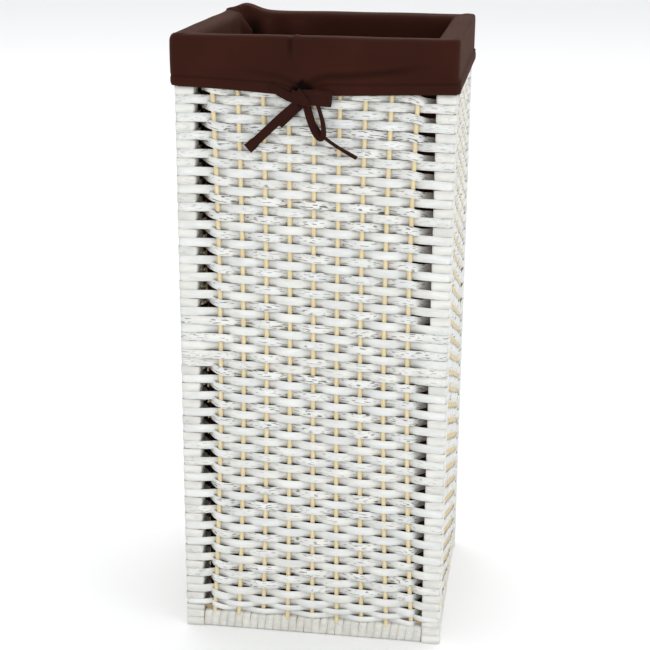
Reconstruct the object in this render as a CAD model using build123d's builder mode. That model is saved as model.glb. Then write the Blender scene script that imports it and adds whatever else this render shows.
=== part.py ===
"""Tall slim wicker laundry basket with a fabric liner that folds over the rim.

Millimetres. +Z is up, the front faces -Y, and the origin is the centre of the footprint on the floor.
Lengths called "depth" are measured inwards from the outer face of a side.
"""
from build123d import *
import os
from math import radians, tan

os.makedirs("parts", exist_ok=True)

# ---------------------------------------------------------------- overall size
WIDTH = 280.0                  # across the front, over the bound posts
DEPTH = 262.0                  # front to back, over the bound posts
RIM_Z = 644.0                  # top of the wooden rim

# ---------------------------------------------------------------- wooden frame
BINDING = 2.0                  # thickness of the strips wound round posts and bottom rails
POST = 16.0                    # square post
POST_EDGE_R = 3.0
BOUND_POST = POST + 2 * BINDING
POST_FOOT_Z = 1.0              # the posts stop just above the floor, inside their binding
CORNER_X = WIDTH / 2 - BOUND_POST / 2
CORNER_Y = DEPTH / 2 - BOUND_POST / 2

TOP_RAIL_H = 16.0
TOP_RAIL_DEPTHS = (1.0, 17.0)
PANEL_TOP_Z = RIM_Z - TOP_RAIL_H

BOTTOM_RAIL_H = 19.0           # over its binding
BOTTOM_BINDING_DEPTHS = (1.0, 19.0)
BOTTOM_EDGE_R = 3.0
BINDING_GAP = 0.1              # between a rail's binding and a post's

MID_RAIL_Z = 331.0             # middle of the plain band
MID_RAIL_H = 30.0

# ---------------------------------------------------------------- weave
PANEL_DEPTHS = (1.0, 8.0)      # the slab that two layers of strip and a stake take up
STAKE_DEPTH = 4.5
STAKE_R = 2.4
STAKE_HOLE_R = STAKE_R + 0.05
STAKE_SEAT = 6.0               # how far a stake goes into each rail
STAKE_LOW_Z = BOTTOM_RAIL_H - STAKE_SEAT
STAKE_TOP_Z = PANEL_TOP_Z + STAKE_SEAT
STRAIGHT_BOW = 0.5             # a stake that bows less than this is a straight rod

MID_RAIL_DEPTHS = (PANEL_DEPTHS[1], 15.0)

# Stake spacing at the bottom, the middle and the top: the weave pulls the stakes together half way up.
FRONT_PITCHES = (27.2, 24.4, 26.0)
SIDE_PITCHES = (24.7, 22.5, 23.7)
STAKES_PER_SIDE = 9            # an odd number, so a strip passes both posts of a side alike

# ---------------------------------------------------------------- base
BASE_T = 4.0
BASE_GAP = 0.4                 # clearance round the base panel
BASE_TOP_Z = BOTTOM_RAIL_H + BASE_T

# ---------------------------------------------------------------- liner
CLOTH = 1.2
LINER_TOP_Z = 646.0
BAG_GAP = 1.5                  # between the bag and the bound posts
BAG_FLOOR_Z = BASE_TOP_Z + 0.5
BAG_CORNER_R = 14.0
RIM_CLOTH = 1.4
CUFF_GAP = 0.8                 # between the bound posts and the inside of the cuff
CUFF_T = 2.4                   # inner cloth, tape channel and outer cloth
CUFF_LOW_Z = 596.0
CUFF_INNER_R = 6.0

# ---------------------------------------------------------------- drawstring
TAPE_W = 8.0
TAPE_T = 0.8
CHANNEL_W = 9.0
CHANNEL_T = 1.2
CHANNEL_Z = CUFF_LOW_Z + 6.0   # middle of the hem channel
KNOT_X = -10.0
KNOT_Z = 588.5
SLOT_HALF = 12.0               # half the length of the front opening of the channel

TAIL_T = 1.2                   # a tape tail with the slight cupping that it hangs with
LEFT_TAIL = [(-14, -138.4, 583), (-30, -139.6, 569.5), (-47, -138.6, 553), (-65, -135.8, 536)]
RIGHT_TAIL = [(-7, -138.4, 581), (0, -136.2, 566), (10, -135.0, 550), (26, -135.6, 539.5), (44, -137.0, 530.5)]


def side(outward, distance):
    """A vertical plane on one outer face: local x runs along the side, local y is up."""
    outward = Vector(*outward)
    along = Vector(0, 0, 1).cross(outward)
    return Plane(origin=outward * distance, x_dir=along, z_dir=outward)


# name: (outer face, length over the posts, stake spacings)
SIDES = {
    "front": (side((0, -1, 0), DEPTH / 2), WIDTH, FRONT_PITCHES),
    "back": (side((0, 1, 0), DEPTH / 2), WIDTH, FRONT_PITCHES),
    "left": (side((-1, 0, 0), WIDTH / 2), DEPTH, SIDE_PITCHES),
    "right": (side((1, 0, 0), WIDTH / 2), DEPTH, SIDE_PITCHES),
}
CORNERS = {
    "front_left": (-CORNER_X, -CORNER_Y),
    "front_right": (CORNER_X, -CORNER_Y),
    "back_left": (-CORNER_X, CORNER_Y),
    "back_right": (CORNER_X, CORNER_Y),
}


def save(builder, name):
    """Label a finished sub-part and write its STEP file."""
    builder.part.label = name
    export_step(builder.part, f"parts/{name}.step")


def bar(plane, length, depths, z_low, z_high):
    """A straight rectangular bar along one side of the basket."""
    with BuildPart() as piece:
        with BuildSketch(plane.offset(-depths[0])):
            with Locations((0, (z_low + z_high) / 2)):
                Rectangle(length, z_high - z_low)
        extrude(amount=-(depths[1] - depths[0]))
    return piece


def stake_rod(plane, step, pitches, radius):
    """A round rod up one side, step pitches from its middle, bowed by the weave."""
    low, middle, top = (pitch * step for pitch in pitches)
    middle_z = (STAKE_LOW_Z + STAKE_TOP_Z) / 2
    with BuildLine(plane.offset(-STAKE_DEPTH)) as path:
        if abs(middle - (low + top) / 2) < STRAIGHT_BOW:
            Line((low, STAKE_LOW_Z), (top, STAKE_TOP_Z))
        else:
            ThreePointArc((low, STAKE_LOW_Z), (middle, middle_z), (top, STAKE_TOP_Z))
    with BuildPart() as rod:
        with BuildSketch(path.line ^ 0):
            Circle(radius)
        sweep(path=path.line)
    return rod


# ================================================================ posts
for name, corner in CORNERS.items():
    with BuildPart() as post:
        with BuildSketch(Plane.XY.offset(POST_FOOT_Z)):
            with Locations(corner):
                RectangleRounded(POST, POST, POST_EDGE_R)
        extrude(amount=RIM_Z - POST_FOOT_Z)
    save(post, f"post_{name}")

# ================================================================ stakes, rails and woven panels
bottom_bindings = []
mid_rail_bars = []
for name, (face, outer_length, pitches) in SIDES.items():
    clear_length = outer_length - 2 * BOUND_POST
    steps = [i - (STAKES_PER_SIDE - 1) / 2 for i in range(STAKES_PER_SIDE)]

    for number, step in enumerate(steps, start=1):
        stake = stake_rod(face, step, pitches, STAKE_R)
        save(stake, f"stake_{name}_{number}")
    holes = [stake_rod(face, step, pitches, STAKE_HOLE_R).part for step in steps]

    with BuildPart() as panel:
        add(bar(face, clear_length, PANEL_DEPTHS, BOTTOM_RAIL_H, PANEL_TOP_Z).part)
        add(holes, mode=Mode.SUBTRACT)
    save(panel, f"weave_{name}")

    with BuildPart() as top_rail:
        add(bar(face, clear_length, TOP_RAIL_DEPTHS, PANEL_TOP_Z, RIM_Z).part)
        add(holes, mode=Mode.SUBTRACT)
    save(top_rail, f"top_rail_{name}")

    mid_rail = bar(face, clear_length, MID_RAIL_DEPTHS, MID_RAIL_Z - MID_RAIL_H / 2, MID_RAIL_Z + MID_RAIL_H / 2)
    mid_rail_bars.append(mid_rail.part)

    wood_depths = (BOTTOM_BINDING_DEPTHS[0] + BINDING, BOTTOM_BINDING_DEPTHS[1] - BINDING)
    bottom_wood = bar(face, clear_length, wood_depths, BINDING, BOTTOM_RAIL_H - BINDING)
    with BuildPart() as bottom_rail:
        add(bottom_wood.part)
        add(holes, mode=Mode.SUBTRACT)
    save(bottom_rail, f"bottom_rail_{name}")

    with BuildPart() as bottom_binding:
        add(bar(face, clear_length - 2 * BINDING_GAP, BOTTOM_BINDING_DEPTHS, 0, BOTTOM_RAIL_H).part)
        along = Axis(face.origin, face.x_dir)
        fillet(bottom_binding.edges().filter_by(along).group_by(Axis.Z)[0], radius=BOTTOM_EDGE_R)
        add(bottom_wood.part, mode=Mode.SUBTRACT)
        add(holes, mode=Mode.SUBTRACT)
    bottom_bindings.append(bottom_binding.part)

# ================================================================ rails behind the plain band
with BuildPart() as mid_rails:
    add(mid_rail_bars)
save(mid_rails, "mid_rails")

# ================================================================ binding of the posts and the bottom rails
with BuildPart() as binding:
    with BuildSketch():
        with Locations(*CORNERS.values()):
            RectangleRounded(BOUND_POST, BOUND_POST, POST_EDGE_R + BINDING)
            RectangleRounded(POST, POST, POST_EDGE_R, mode=Mode.SUBTRACT)
    extrude(amount=RIM_Z)
    add(bottom_bindings)
save(binding, "frame_binding")

# ================================================================ base panel
with BuildPart() as base_panel:
    with BuildSketch(Plane.XY.offset(BOTTOM_RAIL_H)):
        inner_depth = PANEL_DEPTHS[1] + BASE_GAP
        Rectangle(WIDTH - 2 * inner_depth, DEPTH - 2 * inner_depth)
        with Locations(*CORNERS.values()):
            Rectangle(BOUND_POST + 2 * BASE_GAP, BOUND_POST + 2 * BASE_GAP, mode=Mode.SUBTRACT)
    extrude(amount=BASE_T)
save(base_panel, "base_panel")

# ================================================================ liner
bag_w = WIDTH - 2 * (BOUND_POST + BAG_GAP)
bag_d = DEPTH - 2 * (BOUND_POST + BAG_GAP)
cuff_in_w = WIDTH + 2 * CUFF_GAP
cuff_in_d = DEPTH + 2 * CUFF_GAP
cuff_out_r = CUFF_INNER_R + CUFF_T
channel_depth = (CUFF_T - CHANNEL_T) / 2


def cuff_ring(inner_offset, thickness):
    """A closed ring sketch parallel to the cuff's inner face."""
    outer = inner_offset + thickness
    RectangleRounded(cuff_in_w + 2 * outer, cuff_in_d + 2 * outer, CUFF_INNER_R + outer)
    RectangleRounded(cuff_in_w + 2 * inner_offset, cuff_in_d + 2 * inner_offset,
                     CUFF_INNER_R + inner_offset, mode=Mode.SUBTRACT)


with BuildPart() as liner:
    with BuildSketch(Plane.XY.offset(BAG_FLOOR_Z)):
        RectangleRounded(bag_w, bag_d, BAG_CORNER_R)
    extrude(amount=LINER_TOP_Z - BAG_FLOOR_Z)
    with BuildSketch(Plane.XY.offset(LINER_TOP_Z)):
        RectangleRounded(cuff_in_w + 2 * CUFF_T, cuff_in_d + 2 * CUFF_T, cuff_out_r)
    extrude(amount=-RIM_CLOTH)
    with BuildSketch(Plane.XY.offset(CUFF_LOW_Z)):
        cuff_ring(0, CUFF_T)
    extrude(amount=LINER_TOP_Z - CUFF_LOW_Z)
    with BuildSketch(Plane.XY.offset(BAG_FLOOR_Z + CLOTH)):
        RectangleRounded(bag_w - 2 * CLOTH, bag_d - 2 * CLOTH, BAG_CORNER_R - CLOTH)
    extrude(amount=LINER_TOP_Z, mode=Mode.SUBTRACT)
    with BuildSketch(Plane.XY.offset(CHANNEL_Z - CHANNEL_W / 2)):
        cuff_ring(channel_depth, CHANNEL_T)
    extrude(amount=CHANNEL_W, mode=Mode.SUBTRACT)
    slot_y = -(cuff_in_d / 2 + CUFF_T)
    with Locations((KNOT_X, slot_y, CHANNEL_Z)):
        Box(2 * SLOT_HALF, CUFF_T, CHANNEL_W, mode=Mode.SUBTRACT)
save(liner, "liner")

# ================================================================ drawstring in the hem channel
with BuildPart() as drawstring:
    with BuildSketch(Plane.XY.offset(CHANNEL_Z - TAPE_W / 2)):
        cuff_ring((CUFF_T - TAPE_T) / 2, TAPE_T)
    extrude(amount=TAPE_W)
    with Locations((KNOT_X, slot_y, CHANNEL_Z)):
        Box(SLOT_HALF, 2 * CUFF_T, TAPE_W, mode=Mode.SUBTRACT)
save(drawstring, "drawstring")

# ================================================================ bow: the knot, the flat loop and the hanging loop
KNOT_Y = slot_y - 4.4
with BuildPart() as bow:
    with Locations((KNOT_X, KNOT_Y, KNOT_Z)):
        Box(14, 7.6, 17)
    fillet(bow.edges(), radius=2.8)
    with Locations((KNOT_X + 16, KNOT_Y, KNOT_Z)):
        Box(24, 4, 14)
    with BuildSketch(Plane.XZ.offset(-KNOT_Y - 3)):
        with Locations(Location((2, 564), 112)):
            SlotOverall(38, 12)
            SlotOverall(35, 9, mode=Mode.SUBTRACT)
    extrude(amount=6)
save(bow, "bow")

# ================================================================ tape tails


def corner_radii(points):
    """The radius of each bend: 0.45 of the shorter run over the tangent of half the turn."""
    spots = [Vector(*point) for point in points]
    radii = []
    for before, here, after in zip(spots, spots[1:], spots[2:]):
        shorter = min((here - before).length, (after - here).length)
        turn = (here - before).get_angle(after - here)
        radii.append(0.45 * shorter / tan(radians(turn / 2)))
    return radii


def tail(points, across_y, flat):
    """A flat tape along straight runs joined by tangent arcs."""
    with BuildLine() as path:
        FilletPolyline(*points, radius=corner_radii(points))
    route = path.wire()
    start = Plane(origin=route @ 0, x_dir=(0, 1, 0), z_dir=route % 0)
    with BuildPart() as tape:
        with BuildSketch(start):
            Rectangle(across_y, flat)
        sweep(path=route)
    print("tail", round(route.length, 1), "mm, radii", [round(r) for r in corner_radii(points)],
          "volume ratio", round(tape.part.volume / (across_y * flat * route.length), 3))
    return tape.part


left_tail = tail(LEFT_TAIL, TAIL_T, TAPE_W)
right_tail = tail(RIGHT_TAIL, TAPE_W, TAIL_T)
with BuildPart() as tie_tails:
    add(left_tail)
    add(right_tail)
save(tie_tails, "tie_tails")
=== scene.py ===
"""Looks of the woven laundry basket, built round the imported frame. Metres, +Z up, the front faces -Y.

Each side of the basket has its own flat coordinates: u runs along the side, w is the distance outwards
from the outer face of the bound posts (so the inside is negative), and z is the height.
"""

import bmesh
import bpy
import math
import numpy as np
from mathutils import Matrix, Vector


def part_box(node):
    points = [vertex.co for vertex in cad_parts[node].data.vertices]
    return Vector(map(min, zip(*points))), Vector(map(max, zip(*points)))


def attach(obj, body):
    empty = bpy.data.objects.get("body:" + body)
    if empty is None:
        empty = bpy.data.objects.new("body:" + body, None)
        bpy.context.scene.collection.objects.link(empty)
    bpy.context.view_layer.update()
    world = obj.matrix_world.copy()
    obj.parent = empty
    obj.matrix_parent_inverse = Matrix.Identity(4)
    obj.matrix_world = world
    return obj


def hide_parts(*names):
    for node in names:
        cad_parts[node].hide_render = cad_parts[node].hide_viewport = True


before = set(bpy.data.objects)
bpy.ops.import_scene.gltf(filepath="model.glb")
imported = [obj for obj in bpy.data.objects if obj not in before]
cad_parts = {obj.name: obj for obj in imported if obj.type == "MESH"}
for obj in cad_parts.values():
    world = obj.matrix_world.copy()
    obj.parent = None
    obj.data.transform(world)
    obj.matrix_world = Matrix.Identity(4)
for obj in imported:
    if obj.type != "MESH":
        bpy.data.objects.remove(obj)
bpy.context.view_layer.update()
MM = 0.001
SEED = 11
UP = np.array((0, 0, 1.0))

# ================================================================ sizes read from the frame
binding_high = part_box("frame_binding")[1]
slab_low, slab_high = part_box("weave_front")
liner_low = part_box("liner")[0]
HALF_W = binding_high.x
HALF_D = binding_high.y
RIM_Z = binding_high.z
POST = HALF_W - slab_high.x            # bound post, 20 mm
RAIL_H = slab_low.z                    # top of the bound bottom rail
WEAVE_TOP = slab_high.z

# ================================================================ the weave's own numbers
ROW_PITCH = 9.2525 * MM
FIRST_ROW_Z = 35.2 * MM                # lowest full-height row, which passes behind the posts
TIGHT_ROWS = ((22.3 * MM, "B"), (28.7 * MM, "A"))
TIGHT_H = 6.3 * MM
STRIP_H = 9.15 * MM
STRIP_T = 1.0 * MM
BAND_ROWS = range(29, 36)              # the plain band, where every row goes round the posts outside
STAKE_W = -4.5 * MM                    # where the stakes stand
STAKE_R = 2.4 * MM
OVER = STAKE_W + STAKE_R + 0.6 * MM
UNDER = STAKE_W - STAKE_R - 0.6 * MM
POST_FACE_W = -0.5 * MM                # middle of a strip on a post's outer face
CORNER_R = 4.5 * MM
FRONT_LIFT = 0.15                      # how much a strip rises for each step outwards
LIFT_FROM_W = -2 * STRIP_T - 6.5 * MM  # a strip further in than this drops no further
INSIDE_POST = POST + 0.7 * MM          # a row behind a post turns this far in from both faces
CORNER_START = CORNER_R + 0.5 * MM     # where a row outside the posts begins to turn the corner
SLOPE_H = 8 * MM                       # how much a row at mid-height slopes along a side
WOBBLE = 0.30 * MM                     # how unevenly a strip runs
TILT = math.radians(3.0)               # how far a strip leans

# The ends of a row that goes behind the posts
END_START = 2.25 * POST                # they begin to rise or fall this far from the corner
END_SPAN = 1.25 * POST
END_POWER = 1.15
END_LEVELS = (0.30, 0.55)              # the amounts in mm below are for these heights, in metres
END_FALLS = (2.3, 7.0)
END_RISES = (8.5, 6.5)
# Painted shade: the ends that go behind the posts are painted darker with depth, partly bare willow and
# partly the shade of the recess.
DARK_FROM = 8.0 * MM                   # they darken from this depth
DARK_SPAN = 11 * MM
DEEP_END = 0.6                         # the deep value of a falling end; a rising end and a back have 1

# Turns round a post: inset from the face, corner radius, share of the row's height, thickness
COVERED_TURN = (1.55 * MM, 2.6 * MM, 1.0, 0.8 * MM)
OPEN_TURN = (0.5 * MM, 2.4 * MM, 1.02, STRIP_T)
TURNS_BELOW = -20                      # row numbers of the turns under the lowest row, counted down
TURNS_ABOVE = -30                      # and of those over the highest row
RAIL_TURN = 8.6 * MM                   # width of a turn round a bottom rail, before it is fitted


class Side:
    """One side of the basket and its stakes."""

    def __init__(self, name, along, outward, half_length, half_depth):
        self.name = name
        self.along = np.array(along, float)
        self.outward = np.array(outward, float)
        self.half = half_length
        self.distance = half_depth
        nodes = sorted(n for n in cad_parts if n.startswith(f"stake_{name}_"))
        self.stakes = [self.centreline(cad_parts[n]) for n in nodes]

    def centreline(self, node):
        """A stake's u as a parabola in z, fitted to its vertices."""
        count = len(node.data.vertices)
        co = np.zeros(count * 3)
        node.data.vertices.foreach_get("co", co)
        co = co.reshape(-1, 3)
        return np.polyfit(co[:, 2], co @ self.along, 2)

    def stake_us(self, z):
        return [float(np.polyval(line, z)) for line in self.stakes]

    def place(self, u, w, z):
        """Points of the basket from arrays of side coordinates."""
        flat = np.outer(u, self.along) + np.outer(self.distance + np.asarray(w), self.outward)
        flat[:, 2] += z
        return flat


SIDES = [
    Side("front", (1, 0, 0), (0, -1, 0), HALF_W, HALF_D),
    Side("right", (0, 1, 0), (1, 0, 0), HALF_D, HALF_W),
    Side("back", (-1, 0, 0), (0, 1, 0), HALF_W, HALF_D),
    Side("left", (0, -1, 0), (-1, 0, 0), HALF_D, HALF_W),
]


# ================================================================ camera
def make_camera():
    """The photograph's view: a little to the right of the front, looking down on it."""
    place = Vector((0.2263, -1.5611, 0.8061))
    yaw, pitch, roll = 0.1482, 0.3020, 0.0065
    data = bpy.data.cameras.new("camera")
    data.lens = 82.0
    data.sensor_width = 36.0
    camera = bpy.data.objects.new("camera", data)
    bpy.context.scene.collection.objects.link(camera)
    turn = (Matrix.Rotation(yaw, 4, "Z") @ Matrix.Rotation(math.pi / 2 - pitch, 4, "X")
            @ Matrix.Rotation(roll, 4, "Z"))
    camera.matrix_world = Matrix.Translation(place) @ turn
    bpy.context.scene.camera = camera


make_camera()


# ================================================================ mesh helpers
def rng_for(*keys):
    """A random generator that gives the same numbers each run for the same piece."""
    return np.random.default_rng([SEED, *keys])


def smooth_noise(rng, x, wavelength):
    """Smooth random values between about -1 and 1 along x."""
    x = np.asarray(x, float)
    total = np.zeros_like(x)
    for share, length in ((0.7, wavelength), (0.3, wavelength / 2.7)):
        for _ in range(3):
            size = share * rng.uniform(-1, 1)
            turns = 2 * np.pi * x / length * rng.uniform(0.6, 1.4)
            total += size * np.sin(turns + rng.uniform(0, 2 * np.pi))
    return total / 1.6


def grade(value, start, span):
    """0 before start, then evenly up to 1 over the span. With a negative span it is 0 above start, and
    goes evenly up to 1 below it."""
    return np.clip((value - start) / span, 0, 1)


def unit(vectors):
    return vectors / np.maximum(np.linalg.norm(vectors, axis=-1, keepdims=True), 1e-12)


class MeshMaker:
    """Collects swept strips into one mesh, with the numbers that the materials read."""

    BACK = -0.3 * MM                   # a section's points further in than this are its back

    def __init__(self):
        self.points, self.faces, self.flat, self.count = [], [], [], 0
        self.numbers = {"along": [], "across": [], "strip": [], "crackle": [], "deep": []}

    def sweep(self, path, outs, ups, section, closed=False, strip=0.0, crackle=0.0, deep=None):
        """Sweep a closed section (rows of out, up) along a path. section may be one per path point."""
        n, m = len(path), section.shape[-2]
        section = np.broadcast_to(section, (n, m, 2))
        points = path[:, None] + section[..., :1] * outs[:, None] + section[..., 1:] * ups[:, None]
        start = self.count
        index = start + np.arange(n * m).reshape(n, m)
        nxt = np.roll(index, -1, axis=1)
        rows = n if closed else n - 1
        ahead = np.roll(index, -1, axis=0)
        ahead_next = np.roll(nxt, -1, axis=0)
        quads = np.stack([index[:rows], nxt[:rows], ahead_next[:rows], ahead[:rows]], axis=-1).reshape(-1, 4)
        self.faces += quads.tolist()
        self.flat += [False] * len(quads)
        if not closed:
            self.faces += [index[0][::-1].tolist(), index[-1].tolist()]
            self.flat += [True, True]
        self.points.append(points.reshape(-1, 3))
        self.count += n * m
        step = np.linalg.norm(np.diff(path, axis=0), axis=1)
        along = np.concatenate([[0], np.cumsum(step)])
        self.numbers["along"].append(np.repeat(along, m))
        self.numbers["across"].append(section[..., 1].reshape(-1))
        self.numbers["strip"].append(np.full(n * m, strip))
        self.numbers["crackle"].append(np.full(n * m, crackle))
        deep = np.zeros(n) if deep is None else deep
        # painted shade: a strip's back counts as fully deep, which the paint turns nearly black
        back = 1.0 * (section[..., 0] < self.BACK)
        self.numbers["deep"].append(np.maximum(deep[:, None], back).reshape(-1))

    def build(self, name, body, material):
        """The finished piece, riding on a body."""
        mesh = bpy.data.meshes.new(name)
        mesh.from_pydata(np.concatenate(self.points).tolist(), [], self.faces)
        mesh.polygons.foreach_set("use_smooth", [not flat for flat in self.flat])
        for key, values in self.numbers.items():
            layer = mesh.attributes.new(key, "FLOAT", "POINT")
            layer.data.foreach_set("value", np.concatenate(values).astype(np.float32))
        mesh.update()
        recalculate_outward(mesh)
        return add_piece(name, mesh, body, material)


def recalculate_outward(mesh):
    """Turn every face outwards."""
    shape = bmesh.new()
    shape.from_mesh(mesh)
    bmesh.ops.recalc_face_normals(shape, faces=shape.faces)
    shape.to_mesh(mesh)
    shape.free()


def add_piece(name, mesh, body, material):
    piece = bpy.data.objects.new(name, mesh)
    bpy.context.scene.collection.objects.link(piece)
    piece.data.materials.append(material)
    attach(piece, body)
    return piece


def strip_section(height, thickness, crown=0.05 * MM, edge=0.14 * MM):
    """A flat willow strip: a slightly crowned face and rounded edges."""
    flat = height / 2 - edge
    half = thickness / 2
    return np.array([(half, -flat), (half + crown, 0), (half, flat), (0, height / 2),
                     (-half, flat), (-half, 0), (-half, -flat), (0, -height / 2)])


# ================================================================ materials
def new_material(name):
    """A node material, its shader and a helper that adds and wires nodes."""
    material = bpy.data.materials.new(name)
    material.use_nodes = True
    tree = material.node_tree
    shader = tree.nodes["Principled BSDF"]

    def node(kind, inputs=None, **settings):
        made = tree.nodes.new(kind)
        for key, value in settings.items():
            setattr(made, key, value)
        for key, value in (inputs or {}).items():
            if isinstance(value, bpy.types.NodeSocket):
                tree.links.new(value, made.inputs[key])
            else:
                made.inputs[key].default_value = value
        return made

    return material, shader, node, tree.links.new


def ramp(node, source, *stops):
    """A colour ramp with (position, value or colour) stops."""
    made = node("ShaderNodeValToRGB", {"Fac": source})
    points = made.color_ramp.elements
    while len(points) < len(stops):
        points.new(0.5)
    for point, (position, colour) in zip(points, stops):
        point.position = position
        point.color = (colour, colour, colour, 1) if isinstance(colour, float) else (*colour, 1)
    return made.outputs["Color"]


def mix(node, factor, a, b, blend="MIX"):
    made = node("ShaderNodeMix", data_type="RGBA", blend_type=blend)
    tree = made.id_data
    for socket, value in ((made.inputs[0], factor), (made.inputs[6], a), (made.inputs[7], b)):
        if isinstance(value, bpy.types.NodeSocket):
            tree.links.new(value, socket)
        elif isinstance(value, (int, float)):
            socket.default_value = value
        else:
            socket.default_value = (*value, 1)
    return made.outputs[2]


def attribute(node, name):
    return node("ShaderNodeAttribute", attribute_name=name).outputs["Fac"]


def maths(node, operation, a, b=0.0):
    made = node("ShaderNodeMath", operation=operation)
    for socket, value in zip(made.inputs, (a, b)):
        if isinstance(value, bpy.types.NodeSocket):
            made.id_data.links.new(value, socket)
        else:
            socket.default_value = value
    return made.outputs[0]


DULL_PAINT = (0.64, 0.65, 0.63)
BRIGHT_PAINT = (0.77, 0.78, 0.76)
CRACK = (0.10, 0.085, 0.07)
BARE_WILLOW = (0.62, 0.52, 0.36)
# Painted shade, partly bare willow: the browns and the near black of the strips' deep ends and backs
BARK_AND_LIGHT_SHADE = (0.24, 0.18, 0.13)
BARK_AND_DEEP_SHADE = (0.035, 0.025, 0.018)
# Painted shade: the near black that the liner's folds, stitched line and casing opening are painted with
PAINTED_SHADE_DARK = (0.004, 0.002, 0.0015)


def strip_paint():
    """White paint on flat willow strips: fine grain, dark open cracks on some, worn edges, and backs and
    deep ends that are partly bare willow and partly painted shade.
    """
    material, shader, node, link = new_material("painted_willow")
    along, across = attribute(node, "along"), attribute(node, "across")
    strip, crackle = attribute(node, "strip"), attribute(node, "crackle")
    shift = maths(node, "MULTIPLY", strip, 37.0)
    place = node("ShaderNodeCombineXYZ", {"X": along, "Y": across, "Z": shift}).outputs[0]

    def stretched(scale_along, scale_across, detail):
        scaled = node("ShaderNodeVectorMath", {0: place, 1: (scale_along, scale_across, 1.0)},
                      operation="MULTIPLY")
        return node("ShaderNodeTexNoise", {"Vector": scaled.outputs[0], "Scale": 1.0, "Detail": detail,
                                           "Roughness": 0.55}).outputs["Fac"]

    grain = stretched(90.0, 2600.0, 3.0)
    dashes = stretched(150.0, 850.0, 0.5)
    patches = stretched(38.0, 120.0, 2.0)
    paint = mix(node, ramp(node, patches, (0.35, 0.0), (0.65, 1.0)), DULL_PAINT, BRIGHT_PAINT)
    # the strip number is low on the rails' windings, higher on the posts' and highest on the weave
    warm = ramp(node, strip, (0.0, (0.87, 0.85, 0.80)), (0.4, (0.99, 0.985, 0.97)), (1.0, (0.98, 0.99, 1.0)))
    paint = mix(node, 1.0, paint, warm, "MULTIPLY")
    fine = ramp(node, grain, (0.30, 0.84), (0.48, 1.0))
    grained = mix(node, 1.0, paint, fine, "MULTIPLY")
    paint = mix(node, maths(node, "MULTIPLY_ADD", crackle, 0.55), paint, grained)
    cracked = ramp(node, dashes, (0.35, 1.0), (0.38, 0.0))
    edge = ramp(node, maths(node, "ABSOLUTE", across), (0.0037, 0.0), (0.0046, 1.0))
    cracked_here = maths(node, "MULTIPLY", cracked, crackle)
    colour = mix(node, cracked_here, paint, CRACK)
    worn = maths(node, "MULTIPLY", edge, ramp(node, patches, (0.42, 0.0), (0.62, 0.55)))
    colour = mix(node, worn, colour, BARE_WILLOW)
    # painted shade: deep ends and backs go from willow brown to nearly black
    deep = attribute(node, "deep")
    bark_and_shade = ramp(node, deep, (DEEP_END, BARK_AND_LIGHT_SHADE), (1.0, BARK_AND_DEEP_SHADE))
    colour = mix(node, ramp(node, deep, (0.0, 0.0), (DEEP_END, 0.85)), colour, bark_and_shade)
    link(colour, shader.inputs["Base Color"])
    shader.inputs["Roughness"].default_value = 0.52
    height = mix(node, 0.5, grain, mix(node, 1.0, (1, 1, 1), cracked_here, "SUBTRACT"))
    bump = node("ShaderNodeBump", {"Height": height, "Strength": 0.35, "Distance": 0.0004})
    link(bump.outputs[0], shader.inputs["Normal"])
    return material


def bare_wood(name, light, dark, along_axis, roughness=0.55, fine=900.0):
    """Bare wood with its grain along one axis."""
    material, shader, node, link = new_material(name)
    coords = node("ShaderNodeTexCoord").outputs["Object"]
    stretch = [fine] * 3
    stretch["XYZ".index(along_axis)] = fine / 22
    scaled = node("ShaderNodeVectorMath", {0: coords, 1: tuple(stretch)}, operation="MULTIPLY").outputs[0]
    grain = node("ShaderNodeTexNoise", {"Vector": scaled, "Scale": 1.0, "Detail": 4.0}).outputs["Fac"]
    blotch = node("ShaderNodeTexNoise", {"Vector": coords, "Scale": 55.0, "Detail": 2.0}).outputs["Fac"]
    colour = mix(node, ramp(node, grain, (0.32, 0.0), (0.68, 1.0)), dark, light)
    colour = mix(node, ramp(node, blotch, (0.40, 0.0), (0.70, 0.45)), colour, dark)
    link(colour, shader.inputs["Base Color"])
    shader.inputs["Roughness"].default_value = roughness
    bump = node("ShaderNodeBump", {"Height": grain, "Strength": 0.25, "Distance": 0.0003})
    link(bump.outputs[0], shader.inputs["Normal"])
    return material


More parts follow.
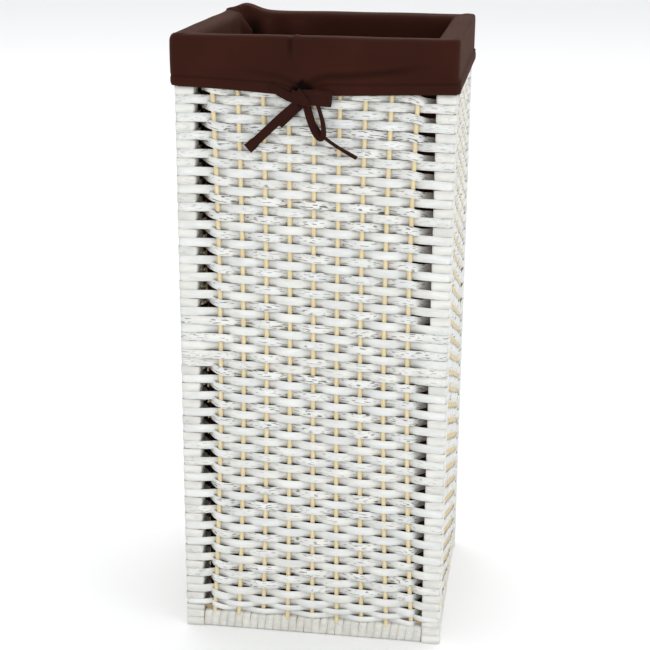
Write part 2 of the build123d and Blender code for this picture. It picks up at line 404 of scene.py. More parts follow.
def cotton(name, light, dark, thread=0.00055):
    """Dark plain-weave cotton: crossed threads, slubs and a soft sheen."""
    material, shader, node, link = new_material(name)
    coords = node("ShaderNodeTexCoord").outputs["Object"]
    weave = None
    for axis in ((1.0, 1.0, 0.0), (0.0, 0.0, 1.0)):
        turned = node("ShaderNodeVectorMath", {0: coords, 1: axis}, operation="DOT_PRODUCT").outputs["Value"]
        wave = maths(node, "SINE", maths(node, "MULTIPLY", turned, 2 * math.pi / thread))
        weave = wave if weave is None else maths(node, "MULTIPLY", weave, wave)
    slub_at = node("ShaderNodeVectorMath", {0: coords, 1: (140.0, 140.0, 900.0)},
                   operation="MULTIPLY").outputs[0]
    slubs = node("ShaderNodeTexNoise", {"Vector": slub_at, "Scale": 1.0, "Detail": 3.0}).outputs["Fac"]
    broad = node("ShaderNodeTexNoise", {"Vector": coords, "Scale": 16.0, "Detail": 3.0}).outputs["Fac"]
    colour = mix(node, ramp(node, broad, (0.35, 0.0), (0.68, 1.0)), dark, light)
    colour = mix(node, ramp(node, slubs, (0.45, 0.0), (0.75, 0.35)), colour, light)
    # painted shade: the shade number darkens the cloth to near black in folds, along the stitches and in the
    # casing's opening
    colour = mix(node, attribute(node, "shade"), colour, PAINTED_SHADE_DARK)
    link(colour, shader.inputs["Base Color"])
    shader.inputs["Roughness"].default_value = 0.78
    shader.inputs["Sheen Weight"].default_value = 0.06
    shader.inputs["Sheen Roughness"].default_value = 0.45
    shader.inputs["Sheen Tint"].default_value = (0.90, 0.48, 0.32, 1)
    shader.inputs["Specular IOR Level"].default_value = 0.06
    height = maths(node, "ADD", maths(node, "MULTIPLY", weave, 0.5), slubs)
    bump = node("ShaderNodeBump", {"Height": height, "Strength": 0.3, "Distance": 0.0003})
    link(bump.outputs[0], shader.inputs["Normal"])
    return material


PAINTED = strip_paint()
STAKE_WOOD = bare_wood("peeled_rod", (0.76, 0.66, 0.41), (0.62, 0.49, 0.27), "Z", fine=1500.0)
FRAME_WOOD = {axis: bare_wood(f"frame_wood_{axis}", (0.62, 0.45, 0.26), (0.45, 0.30, 0.15), axis)
              for axis in "XYZ"}
BOARD_WOOD = bare_wood("thin_board", (0.66, 0.50, 0.30), (0.50, 0.35, 0.18), "X")
CLOTH = cotton("brown_cotton", (0.036, 0.0094, 0.0054), (0.029, 0.0077, 0.0045))
TAPE = cotton("brown_tape", (0.030, 0.0085, 0.0058), (0.021, 0.0062, 0.0044), thread=0.0004)


def paint_cad_nodes():
    """Better materials on the CAD pieces that stay as they are."""
    axis_of = {"front": "X", "back": "X", "left": "Y", "right": "Y"}
    for name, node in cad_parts.items():
        if name.startswith("stake_"):
            material = STAKE_WOOD
        elif name.startswith("post_"):
            material = FRAME_WOOD["Z"]
        elif "_rail_" in name:
            material = FRAME_WOOD[axis_of.get(name.rsplit("_", 1)[1], "X")]
        elif name == "base_panel":
            material = BOARD_WOOD
        else:
            material = TAPE
        node.data.materials.clear()
        node.data.materials.append(material)


paint_cad_nodes()


# ================================================================ woven strips
def rows():
    """Every row of the weave: number, height, kind and strip height."""
    made = [(-len(TIGHT_ROWS) + i, z, kind, TIGHT_H) for i, (z, kind) in enumerate(TIGHT_ROWS)]
    number = 0
    while FIRST_ROW_Z + number * ROW_PITCH + STRIP_H / 2 < WEAVE_TOP:
        made.append((number, FIRST_ROW_Z + number * ROW_PITCH, "AB"[number % 2 == 0], STRIP_H))
        number += 1
    return made


def goes_outside(number, kind):
    """True where a row goes round the posts on the outside."""
    return kind == "A" or number in BAND_ROWS


def row_sag(side_number, u, half, z):
    """How far a row lies above its mean height. Rows slope down across the front, and back up on the next
    side."""
    share = np.asarray(u) / (2 * half)
    direction = -1 if side_number % 2 == 0 else 1
    size = SLOPE_H * math.sin(math.pi * grade(z, RAIL_H, WEAVE_TOP - RAIL_H)) ** 0.7
    return direction * size * np.sin(np.pi * share) * 0.5


def end_shift(side_number, u, half, z):
    """How far a row that goes behind the posts rises towards one post and drops towards the other."""
    falling = np.interp(z, END_LEVELS, END_FALLS) * MM
    rising = np.interp(z, END_LEVELS, END_RISES) * MM
    left, right = (grade(way * u, half - END_START, END_SPAN) ** END_POWER for way in (-1, 1))
    if side_number % 2 == 0:
        return rising * left - falling * right
    return rising * right - falling * left


def hermite(a, b, count):
    """Points of a cubic from control a to control b, each (u, w, slope), leaving out the last."""
    t = np.arange(count) / count
    length = b[0] - a[0]
    u = a[0] + length * t
    w = ((2 * t**3 - 3 * t**2 + 1) * a[1] + (t**3 - 2 * t**2 + t) * a[2] * length
         + (3 * t**2 - 2 * t**3) * b[1] + (t**3 - t**2) * b[2] * length)
    return np.stack([u, w], axis=1)


def row_path(side, z, number, kind):
    """A row's line along one side, from corner to corner, as (u, w) points."""
    half = side.half
    first_over = kind == "B"
    stakes = [(u, OVER if (i % 2 == 0) == first_over else UNDER, 0.0)
              for i, u in enumerate(side.stake_us(z))]
    if goes_outside(number, kind):
        face = [(half - POST + 1.5 * MM, POST_FACE_W, 0.0), (half - CORNER_START, POST_FACE_W, 0.0)]
        controls = [(-u, w, s) for u, w, s in reversed(face)] + stakes + face
        angles = np.linspace(math.pi / 4, 0, 5)[:-1]
        bend = CORNER_R * np.stack([np.sin(angles), np.cos(angles)], axis=1)
        bend += (half - CORNER_START, POST_FACE_W - CORNER_R)
    else:
        turn = half - INSIDE_POST
        controls = [(-turn, -INSIDE_POST, 1.0), *stakes, (turn, -INSIDE_POST, -1.0)]
        bend = np.zeros((0, 2))
    spans = [hermite(a, b, 9 if b[0] - a[0] > 12 * MM else 4) for a, b in zip(controls, controls[1:])]
    middle = np.concatenate(spans + [np.array([controls[-1][:2]])])
    return np.concatenate([bend * (-1, 1), middle, bend[::-1]])


def crackle_of(rng, kind, z):
    """How cracked a row's paint is: most of one kind of row in the upper part, and few rows lower down."""
    if kind == "A":
        return rng.choice([0.0, 0.0, 0.0, 0.35])
    return rng.uniform(0.55, 1.0) if z > 0.24 else rng.choice([0.0, 0.2, 0.45, 0.8])


def weave_side(number, side):
    """All the flat strips of one side."""
    maker = MeshMaker()
    for row, z, kind, height in rows():
        rng = rng_for(1, number, row + 10)
        u, w = row_path(side, z, row, kind).T
        path = side.place(u, w, 0.0)
        calm = grade(side.half - np.abs(u), 0.5 * POST, 0.5 * POST)
        wobble = WOBBLE * smooth_noise(rng, u, 0.09) * calm
        shift = 0.0 if goes_outside(row, kind) else end_shift(number, u, side.half, z)
        ride_up = FRONT_LIFT * (np.clip(w, LIFT_FROM_W, 0) - STAKE_W)
        path[:, 2] = z + row_sag(number, u, side.half, z) + wobble + shift + ride_up * calm
        outs = unit(np.cross(unit(np.gradient(path, axis=0)), UP))
        tilt = TILT * smooth_noise(rng, u, 0.05) * calm
        ups = np.cos(tilt)[:, None] * UP + np.sin(tilt)[:, None] * outs
        strip_height = height * (1 + 0.02 * smooth_noise(rng, u, 0.12))
        base = strip_section(1.0, STRIP_T * rng.uniform(0.9, 1.1), edge=0.025)
        section = np.stack([np.broadcast_to(base[:, 0], (len(path), len(base))),
                            strip_height[:, None] * base[:, 1]], axis=-1)
        crackle = crackle_of(rng, kind, z)
        # painted shade: the ends behind the posts darken with depth, fully on the rising end
        rising_end = u < 0 if number % 2 == 0 else u > 0
        deep = grade(-w, DARK_FROM, DARK_SPAN) * np.where(rising_end, 1.0, DEEP_END)
        maker.sweep(path, outs, ups, section, strip=rng.uniform(0.35, 1.0), crackle=crackle, deep=deep)
    piece = maker.build(f"woven_strips_{side.name}", "basket", PAINTED)
    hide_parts(f"weave_{side.name}")


for side_number, basket_side in enumerate(SIDES):
    weave_side(side_number, basket_side)


# ================================================================ windings of the posts and bottom rails
def ring(half_x, half_y, radius, steps=6):
    """A rounded rectangle round the origin as points and outward directions."""
    points, outs = [], []
    for turn, (sx, sy) in enumerate(((1, 1), (-1, 1), (-1, -1), (1, -1))):
        for angle in np.linspace(0, math.pi / 2, steps) + turn * math.pi / 2:
            x, y = math.cos(angle), math.sin(angle)
            outs.append((x, y))
            points.append((sx * (half_x - radius) + radius * x, sy * (half_y - radius) + radius * y))
    return np.array(points), np.array(outs)


def wind_posts():
    """Short turns of strip that cover each post between the rows that go round it."""
    maker = MeshMaker()
    turns = rows()
    lowest = turns[0][1] - TIGHT_H / 2
    extra = [(TURNS_BELOW - i, lowest * (i + 0.5) / 2, "B", lowest / 2) for i in range(2)]
    z = turns[-1][1] + ROW_PITCH
    while z < RIM_Z - STRIP_H / 2:
        extra.append((TURNS_ABOVE - len(extra), z, "B", STRIP_H))
        z += ROW_PITCH
    for post, (sx, sy) in enumerate(((-1, -1), (1, -1), (1, 1), (-1, 1))):
        centre = np.array((sx * (HALF_W - POST / 2), sy * (HALF_D - POST / 2)))
        for row, z, kind, height in turns + extra:
            rng = rng_for(2, post, row + 40)
            inset, radius, share, thickness = COVERED_TURN if goes_outside(row, kind) else OPEN_TURN
            size = POST / 2 - inset
            points, outs = ring(size, size, radius)
            path = np.zeros((len(points), 3))
            path[:, :2] = centre + points
            lean = rng.uniform(-0.35, 0.35) * MM
            sag = 0.0 if row <= TURNS_BELOW else -sy * row_sag(0, sx * HALF_W, HALF_W, z)
            gap = rng.uniform(0.0, 0.16) * MM
            path[:, 2] = z + sag - sx * sy * gap / 2 + lean * points[:, 0] / size
            path[:, 2] = np.clip(path[:, 2], height / 2 + 0.1 * MM, RIM_Z - height / 2)
            directions = np.zeros((len(points), 3))
            directions[:, :2] = outs
            ups = np.broadcast_to(UP, (len(points), 3))
            maker.sweep(path, directions, ups, strip_section(height * share - gap, thickness), closed=True,
                        strip=rng.uniform(0.20, 0.34), crackle=rng.choice([0.0, 0.0, 0.2]))
    piece = maker.build("post_windings", "basket", PAINTED)
    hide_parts("frame_binding")


def wind_rails():
    """Turns of strip round each bottom rail, side by side."""
    maker = MeshMaker()
    for number, side in enumerate(SIDES):
        length = 2 * (side.half - POST)
        turns = round(length / RAIL_TURN)
        width = length / turns
        points, outs = ring(RAIL_H / 2 - 1.0 * MM, RAIL_H / 2 - 0.55 * MM, 3.0 * MM)
        for turn in range(turns):
            rng = rng_for(3, number, turn)
            u = -length / 2 + (turn + 0.5) * width
            slant = 0.9 * MM + rng.uniform(-0.4, 0.4) * MM
            shift = slant * points[:, 1] / (RAIL_H / 2)
            proud = rng.uniform(-0.16, 0.04) * MM
            w = -RAIL_H / 2 - 0.5 * MM + points[:, 0] + outs[:, 0] * proud
            reach = length / 2 - width / 2
            path = side.place(np.clip(u + shift, -reach, reach), w, 0.0)
            path[:, 2] = RAIL_H / 2 + points[:, 1]
            directions = np.outer(outs[:, 0], side.outward)
            directions[:, 2] = outs[:, 1]
            ups = np.broadcast_to(side.along, path.shape)
            section = strip_section(width * rng.uniform(0.985, 1.0), 0.9 * MM)
            maker.sweep(path, directions, ups, section, closed=True, strip=rng.uniform(0.0, 0.2),
                        crackle=rng.choice([0.0, 0.0, 0.12]))
    maker.build("rail_windings", "basket", PAINTED)


def stake_tips():
    """The tapered stake ends that show over the bottom rail's winding."""
    maker = MeshMaker()
    angles = np.linspace(0, 2 * math.pi, 11)[:-1]
    circle = np.stack([np.cos(angles), np.sin(angles)], axis=1)
    for number, side in enumerate(SIDES):
        for i, u in enumerate(side.stake_us(RAIL_H)):
            if i % 2 == 0:
                continue
            rng = rng_for(4, number, i)
            low = RAIL_H - rng.uniform(3.0, 4.5) * MM
            z = np.array([RAIL_H + 6 * MM, RAIL_H + 2 * MM, RAIL_H - 1 * MM, (RAIL_H + low) / 2, low])
            w = np.array([STAKE_W, -3.6 * MM, -2.4 * MM, -2.0 * MM, -2.0 * MM])
            radius = np.array([2.3, 2.2, 2.1, 1.9, 1.2]) * MM
            path = side.place(np.full(len(z), u), w, 0.0)
            path[:, 2] = z
            outs, ups = (np.broadcast_to(way, path.shape) for way in (side.outward, side.along))
            maker.sweep(path, outs, ups, circle * radius[:, None, None], strip=rng.uniform())
    maker.build("stake_tips", "basket", STAKE_WOOD)


wind_posts()
wind_rails()
stake_tips()


# ================================================================ liner
CLOTH_T = 1.0 * MM
PER_SIDE = 112                         # points of a level along a side
PER_CORNER = 12                        # and round a corner
KNOT_X = -10.0 * MM
KNOT_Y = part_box("bow")[0].y + 3.8 * MM
MOUTH_X = KNOT_X - 1 * MM              # middle of the casing's opening
HEM_Z = 596.0 * MM
SEAM_Z = 606.0 * MM                    # the stitched line over the casing
RIM_START = 643 * MM                   # above this the cloth lies on the rim
SIDE_STEP = 0.31                       # keeps the folds of one side apart from those of the next
BAG_W = -22.4 * MM
BAG_CORNER_R = 6.0 * MM
FLOOR_Z = liner_low.z + 1.2 * MM

# Levels of the liner from the tucked end of the hem to the bag's floor: (w, z, corner radius) in mm.
HEM_LEVELS = [
    (1.05, 606.8, 7.0), (1.05, 603.5, 7.0), (1.05, 600.0, 7.0), (1.25, 597.6, 7.0), (2.1, 596.4, 7.5),
    (3.0, 596.5, 8.5), (3.6, 597.6, 9.0), (3.9, 599.4, 9.2), (4.0, 601.4, 9.3), (3.9, 603.3, 9.2),
    (3.7, 604.6, 9.0), (3.3, 605.4, 8.7), (3.1, 605.9, 8.5), (3.3, 606.5, 8.7), (3.6, 607.6, 8.9),
]
CUFF_HEIGHTS = (609.3, 611.3, 613.5, 615.7, 618.0, 620.3, 622.6, 625.0, 627.4, 629.8, 632.2, 634.5, 636.7,
                638.7)
CUFF_LEVELS = [(3.7, z, 9.0) for z in CUFF_HEIGHTS]
RIM_LEVELS = [
    (3.65, 640.4, 9.0), (3.4, 641.9, 8.8), (2.9, 643.3, 8.4), (2.0, 644.6, 8.0), (0.7, 645.5, 7.6),
    (-1.2, 646.0, 7.2), (-3.6, 646.1, 7.0), (-6.6, 646.0, 7.0), (-9.8, 645.8, 7.4), (-13.0, 645.7, 7.8),
    (-15.8, 645.5, 8.0), (-18.1, 644.9, 7.6), (-19.9, 643.9, 7.2), (-21.2, 642.4, 6.8),
    (-21.9, 640.4, 6.4), (-22.3, 637.8, 6.1),
]


def liner_levels():
    """Every level of the liner as (w, z, corner radius, share of the floor's size)."""
    levels = [(w * MM, z * MM, r * MM, 1.0) for w, z, r in HEM_LEVELS + CUFF_LEVELS + RIM_LEVELS]
    for z in np.concatenate([np.linspace(634, 545, 14), np.linspace(525, 60, 14)]):
        levels.append((BAG_W, z * MM, BAG_CORNER_R, 1.0))
    for drop, inset in ((30, 0), (16, 0.3), (8, 1.5), (3.4, 4.2), (0.9, 8.4), (0.2, 14)):
        levels.append((BAG_W - inset * MM, FLOOR_Z + drop * MM, BAG_CORNER_R, 1.0))
    for share in (0.8, 0.62, 0.45, 0.28, 0.12):
        levels.append((BAG_W - 14 * MM, FLOOR_Z, BAG_CORNER_R, share))
    return np.array(levels)


def round_liner(w, radius):
    """One level's points as (side number, u, x, y), counted from the front left post."""
    points = []
    for number, side in enumerate(SIDES):
        reach = side.half + w - radius
        for u in np.linspace(-reach, reach, PER_SIDE + 1)[:-1]:
            points.append((number, u, *side.place([u], [w], 0.0)[0][:2]))
        for angle in np.linspace(0, math.pi / 2, PER_CORNER + 1)[:-1]:
            u = reach + radius * math.sin(angle)
            depth = w - radius + radius * math.cos(angle)
            points.append((number, u, *side.place([u], [depth], 0.0)[0][:2]))
    return np.array(points)


def bump_at(value, middle, width):
    return np.exp(-((value - middle) / width) ** 2)


def stand_off(side, u, radius, w, z):
    """How far the cuff stands out, which is 0 or less: less on the sides where it is pulled close. The
    hem's casing keeps room for the tape inside it."""
    share = np.array((1.0, 0.82, 0.85, 1.0)) if z < 608 * MM else np.array((1.0, 0.15, 0.6, 1.0))
    here = share[side.astype(int)]
    after = share[(side.astype(int) + 1) % 4]
    reach = np.array([SIDES[int(k)].half for k in side]) + w - radius
    turned = grade(u, reach, radius)
    return (here + (after - here) * turned - 1) * max(0.0, w - 1.0 * MM)


def hem_dip(x):
    """How far the front hem is pulled down by the bow."""
    spread = np.where(x < KNOT_X, 55 * MM, 90 * MM)
    return (-6 * MM * np.exp(-((x - KNOT_X) ** 2) / (2 * spread**2))
            - 10 * MM * bump_at(x, MOUTH_X, 14 * MM))


def hem_pull(z):
    """How much of that pull reaches a height: none at the rim, and all of it at the hem."""
    return grade(z, RIM_START, -44 * MM) ** 1.3


def casing_mouth(side, u, w, rest_z):
    """1 inside the three-cornered opening of the casing that the tape comes out of, and 0 outside it."""
    half_width = 11.5 * MM * grade(rest_z, 616 * MM, -9 * MM)
    return (side == 0) * (w > 2.5 * MM) * np.clip((half_width - np.abs(u - MOUTH_X)) / (1.5 * MM), 0, 1)


def crease_line(u, lowest):
    """Height of a crease that runs up to the right across the front, from its lowest height in mm."""
    return (lowest + 0.0009 * (u / MM - 10) ** 2) * MM


def crease_reach(u):
    """1 along the long crease, fading to 0 at its ends."""
    return grade(u, -12 * MM, 30 * MM) * grade(u, 118 * MM, -40 * MM)


def pull_line(u, lowest):
    """Height of the creases that the bow pulls, from their lowest height in mm."""
    return (lowest + 0.10 * np.abs(u - KNOT_X) / MM) * MM


def near_bow(u):
    """1 at the knot, fading to 0 at 75 mm from it."""
    return grade(np.abs(u - KNOT_X), 75 * MM, -75 * MM)


def cloth_folds(side, u, w, rest_z):
    """How far the liner stands out from its plain shape: soft folds, the pleat, the gathers at the bow."""
    rng = rng_for(5)
    front = (side == 0).astype(float)
    position = u + side * SIDE_STEP
    wall = grade(rest_z, HEM_Z - 2 * MM, 14 * MM)
    outside = (w > 0).astype(float)
    inside = 1 - outside
    soft = np.zeros_like(u)
    for _ in range(16):
        along = rng.uniform(18, 70)
        rise = rng.uniform(-90, 90)
        soft += rng.uniform(0.3, 1.0) * np.sin(position * along + rest_z * rise + rng.uniform(0, 6.3))
    soft = soft / 6 * 1.25 * MM * outside * wall * np.where(side == 1, 0.5, 1.0)
    # the long shallow fold that runs up to the right across the front
    ridge = 2.3 * bump_at(rest_z, crease_line(u, 618.4), 3.6 * MM)
    hollow = 2.0 * bump_at(rest_z, crease_line(u, 613.4), 2.4 * MM)
    crease = front * outside * crease_reach(u) * MM * (ridge - hollow)
    ridge = 1.5 * bump_at(rest_z, pull_line(u, 614), 2.8 * MM)
    hollow = 1.3 * bump_at(rest_z, pull_line(u, 609.8), 2.2 * MM)
    pulls = front * outside * near_bow(u) * MM * (ridge - hollow)
    # the pleat at the middle of the front edge: a ridge and the hollow beside it
    high = grade(rest_z, 629 * MM, 10 * MM) * (w > -12 * MM)
    pleat = front * high * MM * (2.4 * bump_at(u, -17.5 * MM, 3.0 * MM)
                                 - 2.0 * bump_at(u, -23.0 * MM, 2.2 * MM))
    # gathers round the bow, and the opening that the tape comes out of
    casing = grade(rest_z, 611 * MM, -6 * MM)
    waves = 0.9 * MM * np.cos((u - KNOT_X) / (2.0 * MM))
    gathers = front * outside * casing * waves * bump_at(u, KNOT_X, 26 * MM)
    mouth = -1.9 * MM * casing_mouth(side, u, w, rest_z)
    # the bag: hanging folds that deepen downwards, and deep folds beside the inner back left corner
    above_floor = grade(rest_z, 40 * MM, 60 * MM)
    hang = grade(rest_z, 638 * MM, -120 * MM) * above_floor
    bag = np.zeros_like(u)
    for _ in range(10):
        size = rng.uniform(0.3, 1.0)
        angle = position * rng.uniform(35, 120) + rest_z * rng.uniform(-7, 7)
        bag += size * np.sin(angle + rng.uniform(0, 6.3))
    bag = -inside * hang * np.abs(bag) / 3 * 3.5 * MM
    short = grade(rest_z, 641 * MM, -14 * MM) * above_floor
    back_u = np.where(side == 2, SIDES[2].half - u, SIDES[3].half + u)
    on_back = 8 * bump_at(back_u, 50 * MM, 8 * MM) + 5 * bump_at(back_u, 84 * MM, 13 * MM)
    on_left = 11 * bump_at(back_u, 34 * MM, 9 * MM)
    corner = -inside * short * MM * ((side == 2) * on_back + (side == 3) * on_left)
    ripples = -inside * short * 0.55 * MM * (1 + np.sin(position * 95 + 1.0)) * (rest_z > 560 * MM)
    return soft + crease + pulls + pleat + gathers + mouth + bag + corner + ripples


def fold_shadow(side, u, w, rest_z):
    """How dark the bottoms of the folds are painted, as painted shadow: the back left corner, the creases,
    the pleat, the stitches.
    """
    from_corner = SIDES[2].half - u
    depth = grade(rest_z, 642 * MM, -10 * MM) * (w < -18 * MM)
    corner = 0.9 * (side == 2) * depth * bump_at(from_corner, 34 * MM, 8 * MM)
    front = (side == 0) * (w > 2.5 * MM)
    crease = 0.45 * front * crease_reach(u) * bump_at(rest_z, crease_line(u, 613), 2.6 * MM)
    pulls = 0.5 * front * near_bow(u) * bump_at(rest_z, pull_line(u, 609.5), 2.2 * MM)
    pleat = 0.6 * front * grade(rest_z, 625 * MM, 10 * MM) * bump_at(u, -22.5 * MM, 1.8 * MM)
    stitched = 0.35 * (w > 2.5 * MM) * bump_at(rest_z, SEAM_Z - 0.1 * MM, 0.9 * MM)
    return np.maximum.reduce([corner, crease, pulls, pleat, stitched])


def back_left_peak(side, u):
    """The ridge of spare cloth that stands up on the back left corner."""
    past = u - (SIDES[2].half - 21 * MM)
    width = np.where(past > 0, 13 * MM, 17 * MM)
    return 7.5 * MM * (side == 2) * np.exp(-(past / width) ** 2)


def make_liner():
    """The whole liner as one sheet: hem, cuff, rim, bag and floor."""
    rings, shades = [], []
    for w, z, radius, share in liner_levels():
        ring_points = round_liner(w, radius)
        side, u = ring_points[:, 0], ring_points[:, 1]
        flat = ring_points[:, 2:]
        rest_z = np.full(len(u), z)
        out = unit(np.roll(flat, -1, axis=0) - np.roll(flat, 1, axis=0))
        out = np.stack([out[:, 1], -out[:, 0]], axis=1)
        fold = cloth_folds(side, u, np.full(len(u), w), rest_z)
        # painted shade: the casing's opening and the fold shadows are painted nearly black through the shade
        # number
        shades.append(np.maximum(casing_mouth(side, u, w, rest_z), fold_shadow(side, u, w, rest_z)))
        on_top = grade(z, RIM_START, 2 * MM) if w > -20 * MM else 0.0
        level = np.zeros((len(u), 3))
        outward = fold * (1 - on_top) + stand_off(side, u, radius, w, z)
        level[:, :2] = (flat + out * outward[:, None]) * share
        pull = hem_pull(z) if w > 0 else 0.0
        level[:, 2] = z + np.where(side == 0, hem_dip(u), 0.0) * pull
        rng = rng_for(6)
        crest = sum(rng.uniform(0.3, 1) * np.sin((u + side * SIDE_STEP) * rng.uniform(25, 90) + w * 60
                                                  + rng.uniform(0, 6.3)) for _ in range(8)) / 3
        level[:, 2] += on_top * (0.35 * MM * crest + fold * 0.4)
        corner_peak = bump_at(u, np.array([SIDES[int(k)].half for k in side]), 9 * MM)
        level[:, 2] += on_top * corner_peak * np.choose(side.astype(int), (0.6, 0.8, 1.5, 0.8)) * MM
        level[:, 2] += on_top * back_left_peak(side, u)
        if z < FLOOR_Z + 1 * MM:
            rumple = sum(np.sin(level[:, 0] * a + level[:, 1] * b + c)
                         for a, b, c in ((70, 30, 0), (-40, 85, 2), (20, -110, 4)))
            level[:, 2] += 0.5 * MM * (rumple / 3 + 1)
        rings.append(level)
    count = len(rings[0])
    vertices = np.concatenate(rings)
    faces = []
    for row in range(len(rings) - 1):
        for i in range(count):
            j = (i + 1) % count
            faces.append((row * count + i, row * count + j, (row + 1) * count + j, (row + 1) * count + i))
    last = (len(rings) - 1) * count
    middle = len(vertices)
    vertices = np.concatenate([vertices, [vertices[last:].mean(axis=0)]])
    faces += [(last + i, last + (i + 1) % count, middle) for i in range(count)]
    mesh = bpy.data.meshes.new("liner_cloth_sheet")
    mesh.from_pydata(vertices.tolist(), [], faces)
    mesh.polygons.foreach_set("use_smooth", [True] * len(faces))
    shade = mesh.attributes.new("shade", "FLOAT", "POINT")
    shade.data.foreach_set("value", np.append(np.concatenate(shades), 0.0).astype(np.float32))
    liner = add_piece("lining_cloth", mesh, "liner", CLOTH)
    thick = liner.modifiers.new("cloth thickness", "SOLIDIFY")
    thick.thickness = CLOTH_T
    thick.offset = 0.0
    return liner


def hem_stitches():
    """The row of stitches that closes the hem's casing."""
    maker = MeshMaker()
    angles = np.linspace(0, 2 * math.pi, 7)[:-1]
    circle = 0.28 * MM * np.stack([np.cos(angles), np.sin(angles)], axis=1)
    w, radius, pitch = 3.35 * MM, 8.4 * MM, 3.2 * MM
    for number, side in enumerate(SIDES):
        for u in np.arange(-side.half + 6 * MM, side.half - 6 * MM, pitch):
            if number == 0 and abs(u + 13 * MM) < 15 * MM:
                continue                   # the casing is open here
            line = u + np.array([0, 0.5, 1.7, 2.2]) * MM
            ones = np.ones(4)
            depth = w + np.array([-0.35, 0, 0, -0.35]) * MM
            depth += stand_off(number * ones, line, radius, w, SEAM_Z)
            depth += cloth_folds(number * ones, line, w * ones, SEAM_Z * ones)
            path = side.place(line, depth, 0.0)
            path[:, 2] = SEAM_Z + (hem_dip(line) * hem_pull(SEAM_Z) if number == 0 else 0.0)
            maker.sweep(path, np.broadcast_to(side.outward, (4, 3)), np.broadcast_to(UP, (4, 3)), circle)
    return maker.build("hem_stitches", "liner", TAPE)


liner = make_liner()
stitches = hem_stitches()
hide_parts("liner")


# ================================================================ the bow and its tails
TAPE_W = 8.0 * MM
LEFT_TAIL = [(-0.014, -0.1384, 0.583), (-0.030, -0.1396, 0.5695), (-0.047, -0.1386, 0.553),
             (-0.065, -0.1358, 0.536)]
RIGHT_TAIL = [(-0.007, -0.1384, 0.581), (0.000, -0.1362, 0.566), (0.010, -0.1350, 0.550),
              (0.026, -0.1356, 0.5395), (0.044, -0.1370, 0.5305)]


def spline_line(route):
    """Points of the smooth NURBS line that a route's points control."""
    curve = bpy.data.curves.new("route", "CURVE")
    curve.dimensions = "3D"
    spline = curve.splines.new("NURBS")
    spline.points.add(len(route) - 1)
    for point, place in zip(spline.points, route):
        point.co = (*place, 1)
    spline.order_u = 3
    spline.use_endpoint_u = True
    spline.resolution_u = 14
    holder = bpy.data.objects.new("route", curve)
    bpy.context.scene.collection.objects.link(holder)
    mesh = bpy.data.meshes.new_from_object(holder)
    points = np.array([vertex.co for vertex in mesh.vertices])
    bpy.data.objects.remove(holder)
    bpy.data.curves.remove(curve)
    bpy.data.meshes.remove(mesh)
    return points


def tape_section(width, thickness):
    """Folded and sewn tape across its width: rounded folds and a shallow stitched line near each edge."""
    half, t = width / 2, thickness / 2
    face = [(1.0, 0.0), (0.97, 0.42), (0.86, 0.82), (0.74, 0.94), (0.66, 0.70), (0.58, 0.96), (0.2, 1.05),
            (-0.2, 1.05), (-0.58, 0.96), (-0.66, 0.70), (-0.74, 0.94), (-0.86, 0.82), (-0.97, 0.42)]
    back = [(-x, -y) for x, y in face]
    return np.array([(y * t, x * half) for x, y in face + back])


def ribbon(name, route, facing, width=TAPE_W, thickness=1.4 * MM, flare=0.0, across=None):
    """A tape along a route. facing gives the direction its face looks at the start and at the end, or
    across gives the direction of its width, for a tape that turns over."""
    line = spline_line(route)
    ahead = unit(np.gradient(line, axis=0))
    share = np.linspace(0, 1, len(line))[:, None]
    if across is None:
        wanted = (1 - share) * np.array(facing[0], float) + share * np.array(facing[1], float)
        outs = unit(wanted - (wanted * ahead).sum(axis=1, keepdims=True) * ahead)
    else:
        outs = unit(np.cross(across, ahead))
    ups = np.cross(ahead, outs)
    base = tape_section(1.0, 1.0)
    swell = 1 + flare * np.clip((share - 0.86) / 0.05, 0, 1)
    fuller = 1 + 1.6 * (swell - 1)
    section = np.stack([base[:, 0] * thickness * fuller, base[:, 1] * width * swell], axis=-1)
    maker = MeshMaker()
    maker.sweep(line, outs, ups, section)
    return maker.build(name, "liner", TAPE), line


def bow_part(name, points, facing=None, **shape):
    """A tape of the bow. Its points are in millimetres: across, up, and forward of the knot's middle."""
    route = [(x * MM, KNOT_Y - forward * MM, z * MM) for x, z, forward in points]
    piece, _ = ribbon(name, route, facing, **shape)
    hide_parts("bow")


FACE = (0, -1, 0)
bow_part("bow_knot_wrap", [
    (-15.0, 594.0, 0.5), (-12.5, 592.0, 3.2), (-9.0, 588.0, 4.6), (-5.5, 582.5, 3.6), (-5.0, 580.0, 0.0),
    (-8.0, 584.0, -3.0), (-13.0, 591.0, -3.2),
], ((-0.5, -1, 0.3), (-0.5, -1, 0.3)), width=9 * MM, thickness=2.0 * MM)
bow_part("bow_knot_under", [
    (-21.0, 591.0, -1.0), (-17.0, 589.5, 1.5), (-11.0, 587.0, 2.4), (-5.0, 586.0, 1.6), (1.0, 587.5, 0.6),
], (FACE, FACE), width=11 * MM, thickness=3.4 * MM)
bow_part("bow_flat_loop", [
    (-10.0, 588.6, 1.6), (-2.0, 589.4, 3.0), (8.0, 588.8, 3.4), (16.0, 588.2, 2.6), (19.4, 588.0, 0.6),
    (16.0, 588.0, -1.6), (6.0, 588.2, -2.0), (-8.0, 588.6, -1.4),
], width=15.5 * MM, thickness=1.8 * MM, across=(0.06, 0, 1))
bow_part("bow_loop_fold", [
    (-7.0, 592.6, 3.2), (2.0, 594.2, 4.6), (10.0, 593.6, 4.9), (17.4, 592.0, 3.8), (19.0, 591.4, 1.4),
], width=6.4 * MM, thickness=2.0 * MM, across=(0.10, -0.25, 1))
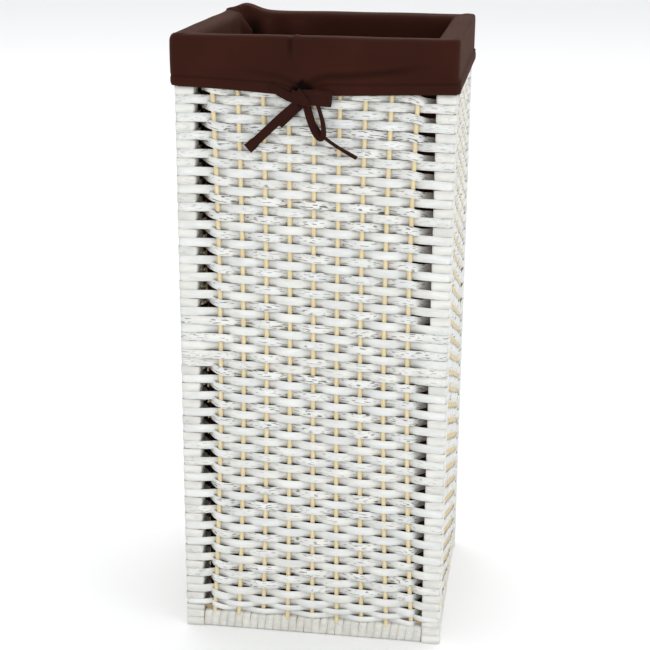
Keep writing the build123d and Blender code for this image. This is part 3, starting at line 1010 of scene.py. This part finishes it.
bow_part("bow_hanging_loop", [
    (-6.5, 585.0, 1.0), (-4.0, 576.0, 1.6), (-1.0, 566.0, 1.4), (3.0, 555.5, 0.8), (7.4, 549.4, 0.0),
    (11.4, 551.0, -0.4), (11.0, 562.0, -0.4), (8.4, 573.0, 0.0), (4.5, 584.0, 0.4),
], ((0.1, -1, 0), (1.0, -0.12, 0.1)), thickness=1.6 * MM)
bow_part("bow_feed_band", [
    (-47.0, 599.0, -4.6), (-40.0, 597.0, -2.6), (-31.0, 592.6, -0.8), (-23.0, 588.8, 0.6),
    (-15.0, 586.4, 1.6), (-9.0, 586.5, 1.8),
], ((0, -1, -0.1), FACE), width=8.6 * MM, thickness=1.8 * MM)
bow_part("bow_left_layer", [
    (-10.0, 583.0, -0.8), (-17.0, 576.5, -1.0), (-25.0, 568.8, -0.9), (-33.0, 561.0, -0.7),
], (FACE, FACE), thickness=1.4 * MM)

left_tail, left_line = ribbon("tie_tail_left", LEFT_TAIL, (FACE, FACE), width=8.8 * MM,
                              thickness=1.5 * MM, flare=0.2)
right_tail, right_line = ribbon("tie_tail_right", RIGHT_TAIL, ((0.5, -0.1, 0.8), (0.35, -0.12, 0.9)),
                                thickness=1.4 * MM, flare=0.1)
for tail, line, exit_place, length in (
    (left_tail, left_line, LEFT_TAIL[0], 0.0696), (right_tail, right_line, RIGHT_TAIL[0], 0.0746),
):
    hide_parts("tie_tails")


# ================================================================ floor and light
def make_floor():
    """A plain pale floor."""
    reach, count = 9.0, 9
    steps = np.linspace(-reach, reach, count)
    vertices = [(x, y, 0.0) for y in steps for x in steps]
    corners = [j * count + i for j in range(count - 1) for i in range(count - 1)]
    faces = [(first, first + 1, first + count + 1, first + count) for first in corners]
    mesh = bpy.data.meshes.new("floor")
    mesh.from_pydata(vertices, [], faces)
    floor = bpy.data.objects.new("floor", mesh)
    bpy.context.scene.collection.objects.link(floor)
    material, shader, node, link = new_material("pale_floor")
    coords = node("ShaderNodeTexCoord").outputs["Object"]
    cloudy = node("ShaderNodeTexNoise", {"Vector": coords, "Scale": 0.8}).outputs["Fac"]
    link(mix(node, cloudy, (0.90, 0.90, 0.90), (0.92, 0.92, 0.92)), shader.inputs["Base Color"])
    shader.inputs["Roughness"].default_value = 0.9
    floor.data.materials.append(material)


def area_light(name, place, size, power, colour=(1, 1, 1)):
    """A soft square light aimed at the middle of the basket."""
    data = bpy.data.lights.new(name, "AREA")
    data.size = size
    data.energy = power
    data.color = colour
    light = bpy.data.objects.new(name, data)
    light.location = place
    light.rotation_euler = (Vector((0, 0, 0.35)) - Vector(place)).to_track_quat("-Z", "Y").to_euler()
    bpy.context.scene.collection.objects.link(light)


def light_scene():
    """A bright room of soft light with a key light from the right."""
    world = bpy.data.worlds.new("studio")
    bpy.context.scene.world = world
    world.use_nodes = True
    background = world.node_tree.nodes["Background"]
    background.inputs["Color"].default_value = (0.985, 0.99, 1.0, 1)
    background.inputs["Strength"].default_value = 0.95
    area_light("key", (2.3, -1.2, 1.5), 1.2, 9)
    area_light("front", (0.1, -2.4, 0.95), 1.0, 10)
    area_light("ceiling", (0.0, 2.0, 4.5), 6.0, 90)
    bpy.context.scene.view_settings.view_transform = "Standard"


make_floor()
light_scene()
